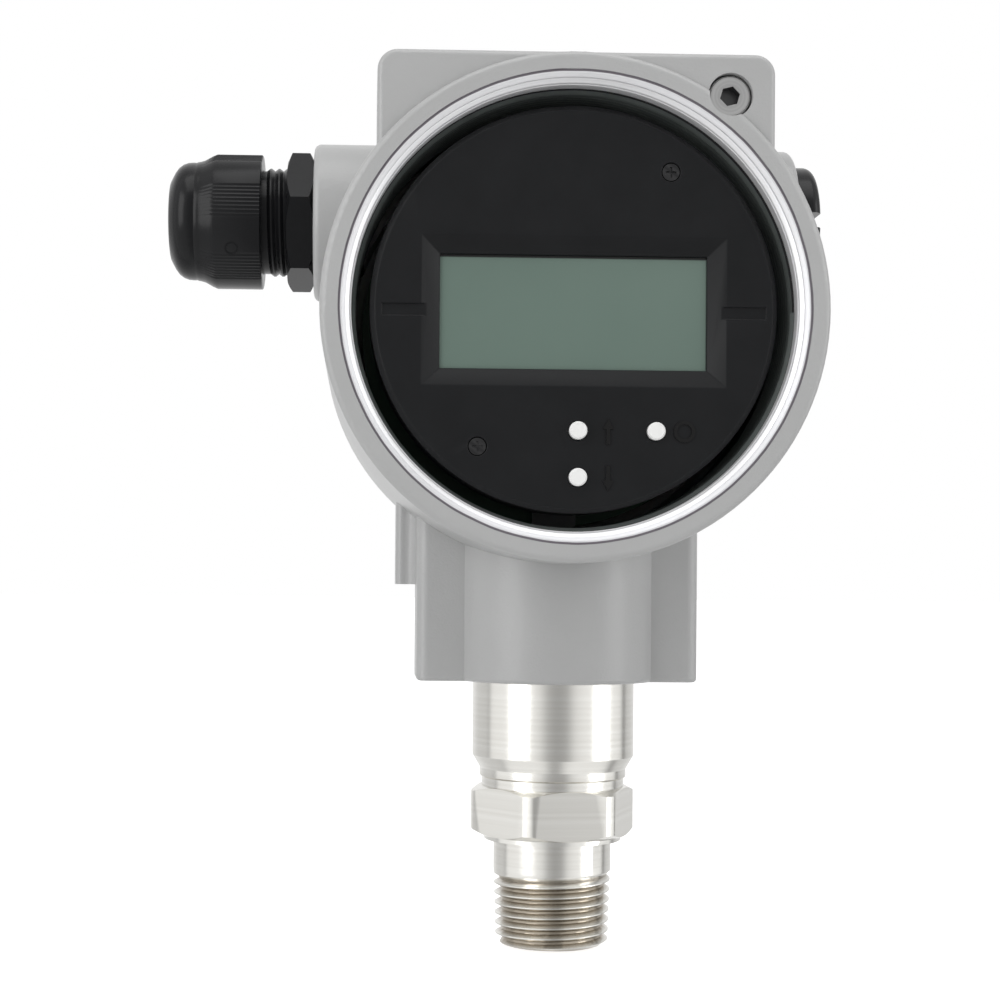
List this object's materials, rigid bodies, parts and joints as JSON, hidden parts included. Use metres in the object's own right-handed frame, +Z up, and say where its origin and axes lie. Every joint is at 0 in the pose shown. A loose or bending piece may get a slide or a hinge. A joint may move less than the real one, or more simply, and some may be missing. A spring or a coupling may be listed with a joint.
{
  "type": "pressure transmitter",
  "caption": "Field pressure transmitter: painted cast head with round display, push buttons, cable gland and blanking plug on a stainless sensor stem with hexagon and taper thread",
  "frame": {"origin": "centre of the lower end face of the stem's taper thread", "axes": "+Z up along the stem, -Y the way the display looks, -X the way the cable gland points, +X the blanking plug"},
  "size_m": [0.1179, 0.059, 0.1543],
  "materials": {
    "cast_paint": "satin light grey powder paint on cast aluminium, slight orange peel",
    "stainless": "turned stainless steel, satin",
    "black_plastic": "black moulded plastic, satin",
    "white_plastic": "white moulded plastic",
    "light_guide": "clear white light guide",
    "display_glass": "blank grey-green liquid crystal cell",
    "black_screws": "black oxide",
    "rubber_seals": "matte black rubber",
    "board_laminate": "green solder resist",
    "green_plastic": "green moulded plastic",
    "ribbon_plastic": "grey ribbon lead",
    "plated_steel": "zinc plated",
    "plated_brass": "nickel plated"
  },
  "bodies": {
    "stem": {"process_connection": "stainless", "sensor_tube": "stainless", "pressure_sensor": "stainless", "sensor_retainer": "stainless", "sensor_board": "board_laminate", "neck_o_ring": "rubber_seals", "sensor_o_ring": "rubber_seals"},
    "head": {"housing": "cast_paint", "lock_screw": "stainless", "neck_set_screw": "stainless", "earth_clamp": "stainless", "earth_screw": "stainless", "display_bezel": "black_plastic", "gland_body": "black_plastic", "blanking_plug": "black_plastic", "tact_switches": "black_plastic", "ribbon_socket": "black_plastic", "lcd_backlight": "light_guide", "lcd_cell": "display_glass", "display_screws": "black_screws", "gland_seal": "rubber_seals", "gland_o_ring": "rubber_seals", "plug_o_ring": "rubber_seals", "display_board": "board_laminate", "main_board": "board_laminate", "terminal_block": "green_plastic", "sensor_ribbon": "ribbon_plastic", "terminal_screws": "plated_steel", "display_spacers": "plated_brass"},
    "up_button": {"up_button": "white_plastic"},
    "enter_button": {"enter_button": "white_plastic"},
    "down_button": {"down_button": "white_plastic"},
    "gland_cap_nut": {"gland_cap_nut": "black_plastic"}
  },
  "joints": [
    {"name": "head_turn", "type": "hinge", "parent": "stem", "child": "head", "pos_m": [0, 0, 0.0545], "axis": [0, 0, 1], "range_deg": [-175, 175]},
    {"name": "up_press", "type": "slide", "parent": "head", "child": "up_button", "axis": [0, 1, 0], "range_m": [0, 0.0004], "stiffness_N_per_m": 3000, "springref_m": -0.0003},
    {"name": "enter_press", "type": "slide", "parent": "head", "child": "enter_button", "axis": [0, 1, 0], "range_m": [0, 0.0004], "stiffness_N_per_m": 3000, "springref_m": -0.0003},
    {"name": "down_press", "type": "slide", "parent": "head", "child": "down_button", "axis": [0, 1, 0], "range_m": [0, 0.0004], "stiffness_N_per_m": 3000, "springref_m": -0.0003},
    {"name": "cap_nut_turn", "type": "hinge", "parent": "head", "child": "gland_cap_nut", "pos_m": [-0.06, 0, 0.131], "axis": [1, 0, 0], "range_deg": [-720, 900]}
  ]
}
